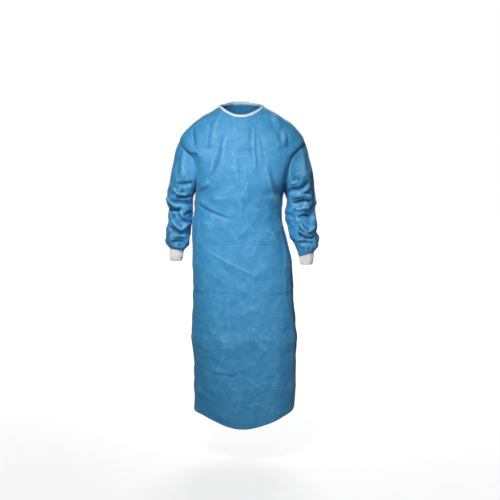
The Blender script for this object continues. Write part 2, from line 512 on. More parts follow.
def relief_of(across, along, drops, folds, seeds, seam):
    """A panel's relief and crease lines: its own folds, pack creases, and two sizes of crumpling."""
    depth, creases = fold_relief(across, along, folds)
    packs, lines = pack_relief(across, -along)
    large, large_lines = crumple(across, along, seeds[0], 0.095, CRUMPLE_SLOPES[0])
    small, small_lines = crumple(across, along, seeds[1], 0.040, CRUMPLE_SLOPES[1])
    deep = FOLD_DEPTH_TOP + (FOLD_DEPTH_SKIRT - FOLD_DEPTH_TOP) * smooth_step((drops - 0.40) / 0.25)
    height = deep * depth * seam + packs + (large + small) * smooth_step(drops / 0.03)
    return height, 0.55 * creases * seam + 0.7 * lines + 0.40 * large_lines + 0.25 * small_lines


def armhole_fill(turn_off, drops):
    """How far a panel's armhole edge stands out past the plain form: a bell over the armhole, fading from the edge."""
    share = (drops - TIP_DROP) / (ARMPIT_DROP - TIP_DROP)
    return ARMHOLE_FILL * np.exp(-((turn_off / 0.35) ** 2)) * smooth_step(share / 0.30) * smooth_step((1.0 - share) / 0.35)


def front_cloth():
    """The front: the plain surface moved along its normals by its relief and by the hanging flutes."""
    turns, drops = np.linspace(0.0, math.pi, FRONT_COLUMNS + 1)[None, :], panel_drops()[:, None]
    points = body_surface(turns, drops, "front")
    seam = smooth_step(np.minimum(turns, math.pi - turns) / 0.22)
    height, creases = relief_of(points[..., 0], points[..., 2], drops, FRONT_FOLDS, (3, 4), seam)
    height = height + flute_relief(np.degrees(turns), drops)
    points = points + grid_normals(points, -1) * height[..., None]
    points[..., 1] -= SEAM_GAP + armhole_fill(np.minimum(turns, math.pi - turns), drops)
    return points, worn_lines(height, creases, PANEL_RELIEF)


def flap_lift(turn, side):
    """A flap leaves the common surface by FLAP_LIFT, eased in over FLAP_LEAVE_SPAN of the turn."""
    return side * FLAP_LIFT * smooth_step((turn - FLAP_LEAVES) / FLAP_LEAVE_SPAN)


def back_cloth(side):
    """A back flap, made as the front is. The +X flap (side 1) is the under one, and the -X flap (-1) lies over it."""
    turns, drops = np.linspace(0.0, FLAP_TURN, BACK_COLUMNS + 1)[None, :], panel_drops()[:, None]
    round_body = turns if side < 0 else math.pi - turns
    points = body_surface(round_body, drops, "back")
    seam = smooth_step(turns / 0.3)
    height, creases = relief_of(points[..., 0], points[..., 2], drops, BACK_FOLDS, (7, 8), seam)
    height = height + flute_relief(360 - np.degrees(round_body), drops) + flap_lift(turns, -side)
    points = points + grid_normals(points, 1) * height[..., None]
    points[..., 1] += SEAM_GAP + 0.6 * armhole_fill(turns, drops)
    return points, worn_lines(height, creases, PANEL_RELIEF)


def armhole_loop(side, front, back):
    """The closed edge that a sleeve is sewn to: down the front's edge from the shoulder tip, and up the back's."""
    rows = slice(SHOULDER_ROWS, SHOULDER_ROWS + ARMHOLE_ROWS + 1)
    forward, rearward = front[rows, -1 if side > 0 else 0], back[rows, 0]
    loop = np.concatenate([forward[:-1], rearward[:0:-1]])
    loop[0] = (forward[0] + rearward[0]) / 2
    loop[ARMHOLE_ROWS] = (forward[-1] + rearward[-1]) / 2
    return loop


def sleeve_ovals(rows, side, along, turns):
    """Tilted ovals cos, sin about the arm: turn 0 is outside, a quarter is its front and a half its inside."""
    column = {name: smooth_column(rows, SLEEVE_COLUMNS, name, along)[:, None] for name in SLEEVE_COLUMNS}
    lengthwise, forward = np.cos(turns)[None, :], np.sin(turns)[None, :]
    x = (column["outer_x"] + column["inner_x"]) / 2 + lengthwise * (column["outer_x"] - column["inner_x"]) / 2
    tilt = (column["outer_drop"] - column["inner_drop"]) / 2
    drop = (column["outer_drop"] + column["inner_drop"]) / 2 + lengthwise * tilt
    y = (column["front_y"] + column["back_y"]) / 2 - forward * (column["back_y"] - column["front_y"]) / 2
    return np.stack([side * x, y, -drop + 0 * y], axis=-1)


def sleeve_cloth(name, side, loop):
    """A sleeve: ovals that start as the armhole's own loop, moved outwards by the folds of its front and back, by
    crumpling, and by uneven gathers sin(n turn) that grow towards the cuff. Returns folded and plain points too."""
    rows = SLEEVE_TABLES[name]
    along = np.linspace(0.0, rows[-1][0], SLEEVE_ROWS + 1)
    turns = np.arange(2 * ARMHOLE_ROWS) * math.pi / ARMHOLE_ROWS
    ovals = sleeve_ovals(rows, side, along, turns)
    middles = ovals.mean(axis=1, keepdims=True)
    share = smooth_step(along / LOOP_BLEND)[:, None, None]
    plain = (1 - share) * (loop[None] + middles - middles[:1]) + share * ovals
    plain = plain + OFF_ARMHOLE * np.array([side, 1, 1]) * SLEEVE_CLEAR * (1 - share)
    outward = unit(plain - plain.mean(axis=1, keepdims=True))
    across, down = side * plain[..., 0], plain[..., 2]
    before, front_creases = fold_relief(across, down, SLEEVE_FOLDS[name])
    other = "left" if name == "right" else "right"
    behind, back_creases = fold_relief(across, down + 0.012, SLEEVE_FOLDS[other])
    facing = smooth_step((np.sin(turns)[None, :] + 0.35) / 0.7)
    folds = SLEEVE_FOLD_DEPTH * (facing * before + (1 - facing) * behind)
    crease = facing * front_creases + (1 - facing) * back_creases
    round_arm = turns[None, :] / (2 * math.pi) * 0.44
    large, large_lines = crumple(round_arm, along[:, None], 21 + side, 0.070, SLEEVE_SLOPES[0])
    small, small_lines = crumple(round_arm, along[:, None], 24 + side, 0.032, SLEEVE_SLOPES[1])
    left_over = (rows[-1][0] - along)[:, None]
    away = smooth_step(along / 0.07)[:, None] * smooth_step(left_over / 0.035)
    gathers = np.sin(17 * turns + 1.3 * np.sin(3 * turns)) * (0.65 + 0.35 * np.sin(5 * turns + 1))
    quiet = 0.3 + 0.7 * smooth_step((along - 0.14) / 0.10)[:, None]
    large, large_lines, small_lines = large * quiet, large_lines * quiet, small_lines * quiet
    puff = smooth_step(along / 0.014) * np.exp(-((along / 0.045) ** 2))
    shoulder = smooth_step((np.cos(turns - 0.7) + 0.2) / 0.9)
    height = (folds + large) * away + 0.0035 * puff[:, None] * shoulder[None, :] + 0.0024 * gathers[None, :] * np.exp(-left_over / 0.022)
    worn = settled_sleeve(name, plain + outward * height[..., None], plain, along)
    worn = worn + outward * ((small * quiet + PRESSED_AGAIN * folds) * away)[..., None]
    height = ((worn - plain) * outward).sum(axis=-1)
    return worn, plain, worn_lines(height, crease + 0.3 * large_lines + 0.2 * small_lines, SLEEVE_RELIEF, ring=True)


def between_rows(values, count):
    """A grid read at `count` even shares of its first axis, on Catmull-Rom curves through its rows."""
    padded = np.concatenate([2 * values[:1] - values[1:2], values, 2 * values[-1:] - values[-2:-1]])
    at = np.linspace(0.0, len(values) - 1 - 1e-9, count)
    index = at.astype(int)
    t = (at - index).reshape(-1, *[1] * (values.ndim - 1))
    before, start, end, after = (padded[index + step] for step in range(4))
    return 0.5 * (
        2 * start
        + (end - before) * t
        + (2 * before - 5 * start + 4 * end - after) * t**2
        + (3 * start - before - 3 * end + after) * t**3
    )


def settled(name, worn, cut, ring, held, pressure, frames):
    """A grid of stiff cloth, let go from its worn shape with the edge lengths it was cut to, and held at some points."""
    rows, columns = worn.shape[:2]
    index = np.arange(rows * columns).reshape(rows, columns)
    if ring:
        index = np.concatenate([index, index[:, :1]], axis=1)
    faces = np.stack([index[:-1, :-1], index[1:, :-1], index[1:, 1:], index[:-1, 1:]], axis=-1).reshape(-1, 4)
    mesh = bpy.data.meshes.new(name)
    mesh.from_pydata(worn.reshape(-1, 3).tolist(), [], faces.tolist())
    loose = bpy.data.objects.new(name, mesh)
    bpy.context.scene.collection.objects.link(loose)
    loose.shape_key_add(name="worn")
    rest = loose.shape_key_add(name="cut")
    rest.data.foreach_set("co", cut.astype(np.float32).ravel())
    group = loose.vertex_groups.new(name="held")
    group.add(np.flatnonzero(held.ravel()).tolist(), 1.0, "REPLACE")
    cloth = loose.modifiers.new("cloth", "CLOTH")
    settings = cloth.settings
    settings.quality = 6
    settings.mass = 0.0006
    settings.tension_stiffness = settings.compression_stiffness = 10
    settings.shear_stiffness = 5
    settings.bending_stiffness = CLOTH_BENDING
    settings.tension_damping = settings.compression_damping = settings.shear_damping = 3
    settings.bending_damping = 0.5
    settings.air_damping = 2.0
    settings.vertex_group_mass = "held"
    settings.rest_shape_key = rest
    settings.use_pressure = True
    settings.uniform_pressure_force = pressure
    cloth.collision_settings.use_collision = False
    cloth.collision_settings.use_self_collision = False
    cloth.point_cache.frame_end = frames
    for frame_number in range(1, frames + 1):
        bpy.context.scene.frame_set(frame_number)
    evaluated = loose.evaluated_get(bpy.context.evaluated_depsgraph_get()).data
    points = np.empty(rows * columns * 3, np.float32)
    evaluated.vertices.foreach_get("co", points)
    bpy.data.objects.remove(loose, do_unlink=True)
    bpy.context.scene.frame_set(1)
    return points.reshape(rows, columns, 3).astype(float)


def settled_sleeve(name, folded, plain, along):
    """The folded sleeve let go as cloth cut longer than the arm, held at both ends. Every second row and column takes
    part, its rest shape is the plain tube with its rings moved apart, and no point may move far from the plain tube."""
    few, few_along = plain[::2, ::2], along[::2]
    middles = few.mean(axis=1, keepdims=True)
    longer = UPPER_EASE + (LOWER_EASE - UPPER_EASE) * smooth_step((few_along - 0.14) / 0.12)
    steps = np.diff(middles, axis=0) * longer[1:, None, None]
    cut = np.concatenate([middles[:1], middles[:1] + np.cumsum(steps, axis=0)]) + (few - middles) * GIRTH_EASE
    held = np.zeros(few.shape[:2], bool)
    held[:3] = held[-2:] = True
    points = settled("loose_sleeve_" + name, folded[::2, ::2], cut, True, held, SLEEVE_PRESSURE, SETTLE_FRAMES)
    moved = points - few
    size = np.linalg.norm(moved, axis=-1, keepdims=True)
    turns = np.arange(few.shape[1]) * 2 * math.pi / few.shape[1]
    most = (MOST_MOVE - (MOST_MOVE - MOST_MOVE_INSIDE) * smooth_step(-np.cos(turns) * 1.4))[None, :, None]
    moved = moved * np.tanh(size / most) * most / np.maximum(size, 1e-9)
    moved = between_rows(moved, len(plain))
    across = np.concatenate([moved[:, -2:], moved, moved[:, :3]], axis=1).swapaxes(0, 1)
    return plain + between_rows(across, 2 * len(across) - 1)[4 : 4 + plain.shape[1]].swapaxes(0, 1)


def resampled_ring(ring, count):
    """A closed ring of points read at `count` even shares of its numbering, in straight pieces."""
    at = np.arange(count) * len(ring) / count
    index = at.astype(int)
    part = (at - index)[:, None]
    return ring[index] * (1 - part) + ring[(index + 1) % len(ring)] * part


def cuff_cloth(name, side, ring):
    """A knitted tube: its outer wall bulges as sin(pi share) with ribs cos(n turn), turns in round its lower edge as a
    half circle, and comes back up inside. Its top is tucked a little way into the sleeve."""
    count = 8 * CUFF_RIBS
    top = resampled_ring(ring, count)
    turns = np.arange(count) * 2 * math.pi / count
    outward = unit(top - top.mean(axis=0))
    outer, inner = (np.array(end) for end in CUFF_ENDS[name])
    weight = (1 + np.cos(turns))[:, None] / 2
    away, up = (weight * outer + (1 - weight) * inner).T
    move = np.stack([side * away, 0 * away, up], axis=-1)
    share = np.linspace(-0.10, 0.965, 30)
    bend = np.linspace(0.0, math.pi, 9)[1:-1]
    shares = np.concatenate([share, 0.965 + 0.035 * np.sin(bend), share[::-1]])
    depth = np.concatenate([0 * share, CUFF_WALL * (1 - np.cos(bend)) / 2, CUFF_WALL + 0 * share])
    ribs = 0.00055 * np.cos(CUFF_RIBS * turns)[None, :] * np.where(depth < CUFF_WALL, 1.0, -0.4)[:, None]
    tuck = 0.0016 * smooth_step((0.06 - shares) / 0.10)
    swell = CUFF_BULGE * np.sin(math.pi * np.clip(shares, 0, 1))
    off = (swell - tuck - depth)[:, None] + ribs
    return top[None] + shares[:, None, None] * move[None] + outward[None] * off[..., None]


def on_panel(panel, normals, places, drops, clear):
    """Points lying on a back flap: read from its own grid between rows and columns, and moved out by `clear`."""
    row_at = np.interp(drops, panel_drops(), np.arange(panel.shape[0]))
    column_at = places * FLAP_COLUMN / FLAP_TURN * BACK_COLUMNS
    row = np.clip(row_at.astype(int), 0, panel.shape[0] - 2)
    column = np.clip(column_at.astype(int), 0, panel.shape[1] - 2)
    down, along = (row_at - row)[..., None], (column_at - column)[..., None]

    def read(values):
        upper = values[row, column] * (1 - along) + values[row, column + 1] * along
        lower = values[row + 1, column] * (1 - along) + values[row + 1, column + 1] * along
        return upper * (1 - down) + lower * down

    return read(panel) + unit(read(normals)) * clear[..., None]


# ---------------------------------------------------------------------------------------------------------------
# Meshes
# ---------------------------------------------------------------------------------------------------------------
def arc_lengths(points):
    """Distances along a grid's rows and down its columns, each summed from the grid's first line."""
    across = np.linalg.norm(np.diff(points, axis=1), axis=-1)
    along = np.linalg.norm(np.diff(points, axis=0), axis=-1)
    u = np.concatenate([np.zeros((len(points), 1)), np.cumsum(across, axis=1)], axis=1)
    v = np.concatenate([np.zeros((1, points.shape[1])), np.cumsum(along, axis=0)], axis=0)
    return np.stack([u, v], axis=-1)


def mesh_object(name, points, faces, finish, face_uv=None, values=None):
    """Points and faces (an array of quads, or lists) as a smooth object at the origin, with a UV map in metres."""
    mesh = bpy.data.meshes.new(name)
    mesh.from_pydata(points.reshape(-1, 3).tolist(), [], faces if isinstance(faces, list) else faces.tolist())
    if face_uv is not None:
        layer = mesh.uv_layers.new(name="UVMap")
        layer.data.foreach_set("uv", face_uv.astype(np.float32).ravel())
    crease = mesh.attributes.new("crease", "FLOAT", "POINT")
    shown = np.zeros(len(mesh.vertices)) if values is None else values.ravel()
    crease.data.foreach_set("value", shown.astype(np.float32))
    mesh.shade_smooth()
    mesh.materials.append(finish)
    made = bpy.data.objects.new(name, mesh)
    bpy.context.scene.collection.objects.link(made)
    return made


def grid_object(name, points, finish, ring=False, closed=False, flip=False, values=None):
    """A grid of points as quads. A ring's last column joins its first, and a closed one's last row its first."""
    rows, columns = points.shape[:2]
    index = np.arange(rows * columns).reshape(rows, columns)
    spread = points
    if ring:
        index = np.concatenate([index, index[:, :1]], axis=1)
        spread = np.concatenate([spread, spread[:, :1]], axis=1)
    if closed:
        index = np.concatenate([index, index[:1]], axis=0)
        spread = np.concatenate([spread, spread[:1]], axis=0)
    uv = arc_lengths(spread)

    def corners(grid):
        quads = np.stack([grid[:-1, :-1], grid[1:, :-1], grid[1:, 1:], grid[:-1, 1:]], axis=2)
        quads = quads.reshape(-1, 4, *grid.shape[2:])
        return quads[:, ::-1] if flip else quads

    return mesh_object(name, points, corners(index), finish, corners(uv), values)


def give_wall(made, wall):
    """The cloth's thickness, inwards from its outer face."""
    thickness = made.modifiers.new("wall", "SOLIDIFY")
    thickness.thickness = wall
    thickness.offset = -1.0
    return made


def frames_along(path, outward, closed):
    """Tangents and sideways directions of a path on a surface whose normals are `outward`."""
    if closed:
        tangent = unit(np.roll(path, -1, axis=0) - np.roll(path, 1, axis=0))
    else:
        tangent = unit(np.gradient(path, axis=0))
    sideways = unit(np.cross(tangent, outward))
    return tangent, sideways, unit(np.cross(sideways, tangent))


def swept_points(path, outward, half_width, half_height, around, closed=False):
    """A flattened tube: an ellipse of the two half sizes carried along a path, flat side to the surface."""
    _, sideways, up = frames_along(path, outward, closed)
    turns = np.arange(around) * 2 * math.pi / around
    wide = np.broadcast_to(half_width, len(path))[:, None, None] * np.cos(turns)[None, :, None]
    high = np.broadcast_to(half_height, len(path))[:, None, None] * np.sin(turns)[None, :, None]
    return path[:, None] + wide * sideways[:, None] + high * up[:, None]


def capped(points):
    """Faces of a row of rings, with a polygon over each end."""
    rows, around = points.shape[:2]
    index = np.arange(rows * around).reshape(rows, around)
    wrapped = np.concatenate([index, index[:, :1]], axis=1)
    quads = np.stack([wrapped[:-1, :-1], wrapped[1:, :-1], wrapped[1:, 1:], wrapped[:-1, 1:]], axis=-1).reshape(-1, 4)
    return quads.tolist() + [index[0].tolist(), index[-1][::-1].tolist()]


def joined(parts):
    """Several (points, faces) as one."""
    points, faces, start = [], [], 0
    for part_points, part_faces in parts:
        points.append(part_points.reshape(-1, 3))
        faces += [[corner + start for corner in face] for face in part_faces]
        start += len(points[-1])
    return np.concatenate(points), faces


def thread_run(path, outward, pitch, radius, lift):
    """A row of stitches: short spindles, each an ellipse's turn of six points at five places, set every `pitch` along a
    path and lying in its surface."""
    tangent, _, up = frames_along(path, outward, False)
    length = np.concatenate([[0.0], np.cumsum(np.linalg.norm(np.diff(path, axis=0), axis=1))])
    at = np.arange(pitch / 2, length[-1], pitch)

    def read(values):
        return np.stack([np.interp(at, length, values[:, axis]) for axis in range(3)], axis=-1)

    middle, tangent, up = read(path), unit(read(tangent)), unit(read(up))
    sideways = np.cross(tangent, up)
    place = np.array([-1.0, -0.7, 0.0, 0.7, 1.0])
    girth = np.array([0.15, 0.75, 1.0, 0.75, 0.15])
    turns = np.arange(6) * math.pi / 3
    along = (place * pitch * 0.36)[None, :, None, None] * tangent[:, None, None]
    wide = (girth[:, None] * np.cos(turns) * radius)[None, :, :, None] * sideways[:, None, None]
    high = (girth[:, None] * np.sin(turns) * radius + lift)[None, :, :, None] * up[:, None, None]
    points = middle[:, None, None] + along + wide + high
    faces = np.array([face for face in capped(points[0]) if len(face) == 4])
    ends = np.array([face for face in capped(points[0]) if len(face) == 6])
    starts = np.arange(len(at))[:, None, None] * 30
    return points.reshape(-1, 3), (faces[None] + starts).reshape(-1, 4).tolist() + (ends[None] + starts).reshape(-1, 6).tolist()


# ---------------------------------------------------------------------------------------------------------------
# Finishes
# ---------------------------------------------------------------------------------------------------------------
def node_group(name, inputs, outputs):
    """A shader node group with float or vector inputs and float outputs, and its input and output nodes."""
    group = bpy.data.node_groups.new(name, "ShaderNodeTree")
    for socket_name, kind, value in inputs:
        socket = group.interface.new_socket(socket_name, in_out="INPUT", socket_type=kind)
        if kind == "NodeSocketFloat":
            socket.default_value = value
    for socket_name in outputs:
        group.interface.new_socket(socket_name, in_out="OUTPUT", socket_type="NodeSocketFloat")
    return group, group.nodes.new("NodeGroupInput"), group.nodes.new("NodeGroupOutput")


def math_node(tree, operation, first, second=None, third=None):
    """A Math node whose inputs are sockets or numbers; returns its output."""
    node = tree.nodes.new("ShaderNodeMath")
    node.operation = operation
    for socket, value in zip(node.inputs, (first, second, third)):
        if isinstance(value, bpy.types.NodeSocket):
            tree.links.new(value, socket)
        elif value is not None:
            socket.default_value = value
    return node.outputs[0]


def noise(tree, vector, scale, detail, roughness=0.55, distortion=0.0):
    node = tree.nodes.new("ShaderNodeTexNoise")
    node.inputs["Scale"].default_value = scale
    node.inputs["Detail"].default_value = detail
    node.inputs["Roughness"].default_value = roughness
    node.inputs["Distortion"].default_value = distortion
    tree.links.new(vector, node.inputs["Vector"])
    return node.outputs["Fac"]


def stretched(tree, vector, turn, scale):
    """The vector turned about Z and then scaled unevenly, for fibres that run one way."""
    node = tree.nodes.new("ShaderNodeMapping")
    node.inputs["Rotation"].default_value = (0.0, 0.0, turn)
    node.inputs["Scale"].default_value = scale
    tree.links.new(vector, node.inputs["Vector"])
    return node.outputs["Vector"]


def part_of(tree, vector, axis):
    node = tree.nodes.new("ShaderNodeSeparateXYZ")
    tree.links.new(vector, node.inputs[0])
    return node.outputs[axis]


def web_group():
    """Bonded fibre web. Clouds are slow noise, Fibres are two crossed sets of stretched noise, and Bonds is 1 on the
    small embossed points, where cos(2 pi u / pitch) cos(2 pi v / pitch) is near 1."""
    group, given, made = node_group(
        "Bonded Fibre Web",
        [("Vector", "NodeSocketVector", None), ("Bond Pitch", "NodeSocketFloat", 0.0022)],
        ["Clouds", "Fibres", "Bonds"],
    )
    vector, pitch = given.outputs["Vector"], given.outputs["Bond Pitch"]
    clouds = math_node(group, "ADD", noise(group, vector, 28, 5), noise(group, vector, 190, 6, 0.65))
    group.links.new(math_node(group, "MULTIPLY", clouds, 0.5), made.inputs["Clouds"])
    sets = [
        noise(group, stretched(group, vector, math.radians(turn), (260, 2600, 1)), 1.0, 4, 0.6, 0.6)
        for turn in (24, -31)
    ]
    group.links.new(math_node(group, "MAXIMUM", *sets), made.inputs["Fibres"])
    waves = []
    for axis in ("X", "Y"):
        cycles = math_node(group, "DIVIDE", part_of(group, vector, axis), pitch)
        waves.append(math_node(group, "COSINE", math_node(group, "MULTIPLY", cycles, 2 * math.pi)))
    point = math_node(group, "MULTIPLY", *waves)
    group.links.new(math_node(group, "SMOOTH_MAX", math_node(group, "MULTIPLY_ADD", point, 2.2, -1.2), 0.0, 0.2),
                    made.inputs["Bonds"])
    return group


def knit_group():
    """Knitted loops: chevrons |sin| whose phase climbs to the middle of each column of loops and falls after it."""
    group, given, made = node_group(
        "Knitted Loops",
        [("Vector", "NodeSocketVector", None), ("Loop Width", "NodeSocketFloat", 0.0016),
         ("Loop Height", "NodeSocketFloat", 0.0012)],
        ["Loops", "Fuzz"],
    )
    vector = given.outputs["Vector"]
    column = math_node(group, "DIVIDE", part_of(group, vector, "X"), given.outputs["Loop Width"])
    row = math_node(group, "DIVIDE", part_of(group, vector, "Y"), given.outputs["Loop Height"])
    valley = math_node(group, "PINGPONG", column, 0.5)
    phase = math_node(group, "ADD", row, math_node(group, "MULTIPLY", valley, 1.3))
    loops = math_node(group, "ABSOLUTE", math_node(group, "SINE", math_node(group, "MULTIPLY", phase, math.pi)))
    edge = math_node(group, "SMOOTH_MIN", math_node(group, "MULTIPLY", valley, 4.0), 1.0, 0.3)
    group.links.new(math_node(group, "MULTIPLY", loops, edge), made.inputs["Loops"])
    group.links.new(noise(group, vector, 1400, 5, 0.7), made.inputs["Fuzz"])
    return group


def finish_start(name, group_tree, roughness):
    """A material with its shader, and the shared group fed by the piece's own UV map in metres."""
    made = bpy.data.materials.new(name)
    made.use_nodes = True
    tree = made.node_tree
    shader = tree.nodes["Principled BSDF"]
    shader.inputs["Roughness"].default_value = roughness
    shader.inputs["Metallic"].default_value = 0.0
    uv = tree.nodes.new("ShaderNodeUVMap")
    uv.uv_map = "UVMap"
    effect = tree.nodes.new("ShaderNodeGroup")
    effect.node_tree = group_tree
    tree.links.new(uv.outputs["UV"], effect.inputs["Vector"])
    return made, tree, shader, effect, uv.outputs["UV"]


def bumped(tree, shader, heights):
    """Bump nodes one after another, each (height socket, strength, distance), into the shader's Normal."""
    last = None
    for height, strength, distance in heights:
        node = tree.nodes.new("ShaderNodeBump")
        node.inputs["Strength"].default_value = strength
        node.inputs["Distance"].default_value = distance
        tree.links.new(height, node.inputs["Height"])
        if last is not None:
            tree.links.new(last, node.inputs["Normal"])
        last = node.outputs["Normal"]
    tree.links.new(last, shader.inputs["Normal"])


def mixed(tree, factor, first, second, mode="MIX"):
    """A colour mix of two colours or sockets by a factor socket or number."""
    node = tree.nodes.new("ShaderNodeMix")
    node.data_type = "RGBA"
    node.blend_type = mode
    for socket, value in ((node.inputs["Factor"], factor), (node.inputs[6], first), (node.inputs[7], second)):
        if isinstance(value, bpy.types.NodeSocket):
            tree.links.new(value, socket)
        else:
            socket.default_value = value
    return node.outputs[2]


def ramp(tree, value, low, high):
    """0 below `low`, 1 above `high`, eased between."""
    node = tree.nodes.new("ShaderNodeMapRange")
    node.interpolation_type = "SMOOTHSTEP"
    node.inputs["From Min"].default_value = low
    node.inputs["From Max"].default_value = high
    tree.links.new(value, node.inputs["Value"])
    return node.outputs["Result"]


def gown_cloth_finish(web):
    """Blue bonded cloth: a mottled web, paler fibres, darker embossed points, and paler worn crease lines."""
    made, tree, shader, effect, _ = finish_start("gown_cloth", web, 0.62)
    clouds = ramp(tree, effect.outputs["Clouds"], 0.36, 0.64)
    colour = mixed(tree, clouds, CLOTH_DEEP, CLOTH_PALE)
    colour = mixed(tree, math_node(tree, "MULTIPLY", ramp(tree, effect.outputs["Fibres"], 0.60, 0.80), 0.30),
                   colour, CLOTH_FIBRE)
    colour = mixed(tree, math_node(tree, "MULTIPLY", effect.outputs["Bonds"], 0.30), colour, CLOTH_BOND)
    crease = tree.nodes.new("ShaderNodeAttribute")
    crease.attribute_name = "crease"
    ridge = math_node(tree, "MULTIPLY", ramp(tree, crease.outputs["Fac"], 0.10, 1.0), 0.50)
    valley = math_node(tree, "MULTIPLY", ramp(tree, math_node(tree, "MULTIPLY", crease.outputs["Fac"], -1.0), 0.1, 1.0),
                       0.80)
    colour = mixed(tree, ridge, colour, CLOTH_WORN)
    colour = mixed(tree, valley, colour, CLOTH_VALLEY)
    tree.links.new(colour, shader.inputs["Base Color"])
    rough = math_node(tree, "MULTIPLY_ADD", effect.outputs["Bonds"], -0.18, 0.64)
    tree.links.new(rough, shader.inputs["Roughness"])
    shader.inputs["Specular IOR Level"].default_value = 0.60
    shader.inputs["Sheen Weight"].default_value = 0.22
    shader.inputs["Sheen Roughness"].default_value = 0.40
    shader.inputs["Sheen Tint"].default_value = (0.60, 0.82, 1.0, 1.0)
    bumped(tree, shader, [
        (effect.outputs["Clouds"], 0.22, 0.0016),
        (effect.outputs["Fibres"], 0.25, 0.0003),
        (effect.outputs["Bonds"], 0.35, -0.0002),
    ])
    return made


def knit_finish(knit):
    """White knitted cotton: chevron loops, darker between them, and a little fuzz."""
    made, tree, shader, effect, _ = finish_start("ribbed_knit", knit, 0.9)
    colour = mixed(tree, ramp(tree, effect.outputs["Loops"], 0.05, 0.7), KNIT_SHADE, KNIT_WHITE)
    colour = mixed(tree, math_node(tree, "MULTIPLY", ramp(tree, effect.outputs["Fuzz"], 0.5, 0.7), 0.25), colour,
                   KNIT_FUZZ)
    tree.links.new(colour, shader.inputs["Base Color"])
    shader.inputs["Sheen Weight"].default_value = 0.25
    shader.inputs["Sheen Roughness"].default_value = 0.6
    bumped(tree, shader, [(effect.outputs["Loops"], 0.5, 0.0004), (effect.outputs["Fuzz"], 0.2, 0.0002)])
    return made


def tape_finish(web):
    """Pale binding tape: the same web, finer and nearly white, with a fine ribbing along its length."""
    made, tree, shader, effect, uv = finish_start("binding_tape", web, 0.7)
    effect.inputs["Bond Pitch"].default_value = 0.0014
    colour = mixed(tree, ramp(tree, effect.outputs["Clouds"], 0.36, 0.64), TAPE_SHADE, TAPE_PALE)
    colour = mixed(tree, math_node(tree, "MULTIPLY", effect.outputs["Bonds"], 0.25), colour, TAPE_BOND)
    tree.links.new(colour, shader.inputs["Base Color"])
    ribbing = math_node(tree, "SINE", math_node(tree, "MULTIPLY", part_of(tree, uv, "X"), 2 * math.pi / 0.0011))
    shader.inputs["Sheen Weight"].default_value = 0.15
    bumped(tree, shader, [
        (effect.outputs["Clouds"], 0.2, 0.0008),
        (ribbing, 0.12, 0.0002),
        (effect.outputs["Bonds"], 0.3, -0.0001),
    ])
    return made


def thread_finish(name, colour, deeper):
    """Sewing thread: a slow change of tone, and a fine twist as bump."""
    made = bpy.data.materials.new(name)
    made.use_nodes = True
    tree = made.node_tree
    shader = tree.nodes["Principled BSDF"]
    place = tree.nodes.new("ShaderNodeTexCoord").outputs["Object"]
    tree.links.new(mixed(tree, ramp(tree, noise(tree, place, 420, 3), 0.4, 0.6), deeper, colour),
                   shader.inputs["Base Color"])
    shader.inputs["Roughness"].default_value = 0.6
    shader.inputs["Sheen Weight"].default_value = 0.2
    bumped(tree, shader, [(noise(tree, place, 2600, 2), 0.3, 0.0002)])
    return made


def floor_finish():
    """Pale studio floor, faintly uneven. The camera sees it near white, and whiter far away; what it throws back on to
    the gown is the light of a duller floor."""
    made = bpy.data.materials.new("studio_floor")
    made.use_nodes = True
    tree = made.node_tree
    shader = tree.nodes["Principled BSDF"]
    place = tree.nodes.new("ShaderNodeTexCoord").outputs["Object"]
    shader.inputs["Base Color"].default_value = FLOOR_TONE
    shader.inputs["Roughness"].default_value = 0.8
    length = tree.nodes.new("ShaderNodeVectorMath")
    length.operation = "LENGTH"
    tree.links.new(place, length.inputs[0])
    far = ramp(tree, length.outputs["Value"], 0.8, 4.5)
    uneven = math_node(tree, "MULTIPLY_ADD", noise(tree, place, 1.5, 3), 0.04, FLOOR_NEAR - 0.30)
    glow = tree.nodes.new("ShaderNodeEmission")
    tree.links.new(math_node(tree, "ADD", uneven, math_node(tree, "MULTIPLY", far, 0.5)), glow.inputs["Strength"])
    both = tree.nodes.new("ShaderNodeAddShader")
    tree.links.new(shader.outputs["BSDF"], both.inputs[0])
    tree.links.new(glow.outputs["Emission"], both.inputs[1])
    rays = tree.nodes.new("ShaderNodeLightPath")
    seen = tree.nodes.new("ShaderNodeMixShader")
    tree.links.new(rays.outputs["Is Camera Ray"], seen.inputs["Fac"])
    tree.links.new(shader.outputs["BSDF"], seen.inputs[1])
    tree.links.new(both.outputs["Shader"], seen.inputs[2])
    tree.links.new(seen.outputs["Shader"], tree.nodes["Material Output"].inputs["Surface"])
    return made


# ---------------------------------------------------------------------------------------------------------------
# Pieces
# ---------------------------------------------------------------------------------------------------------------
def place(made, slot, *nodes):
    """Every piece rides on the one body; it takes its finish from a slot, and stands for the CAD nodes named."""
    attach(made, "root")
    if nodes:
        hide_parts(*nodes)
    return made


def edge_path(cloth_a, cloth_b):
    """The line halfway between two edges sewn together."""
    return (cloth_a + cloth_b) / 2


def build_panels(blue):
    front, front_crease = front_cloth()
    under, under_crease = back_cloth(1)
    over, over_crease = back_cloth(-1)
    pieces = {
        "front_panel": grid_object("gown_front", front, blue, values=front_crease),
        "back_panel_left": grid_object("gown_back_under", under, blue, values=under_crease),
        "back_panel_right": grid_object("gown_back_over", over, blue, flip=True, values=over_crease),
    }
    for node, made in pieces.items():
        place(give_wall(made, CLOTH_WALL), "gown_cloth", node)
    return front, under, over, pieces


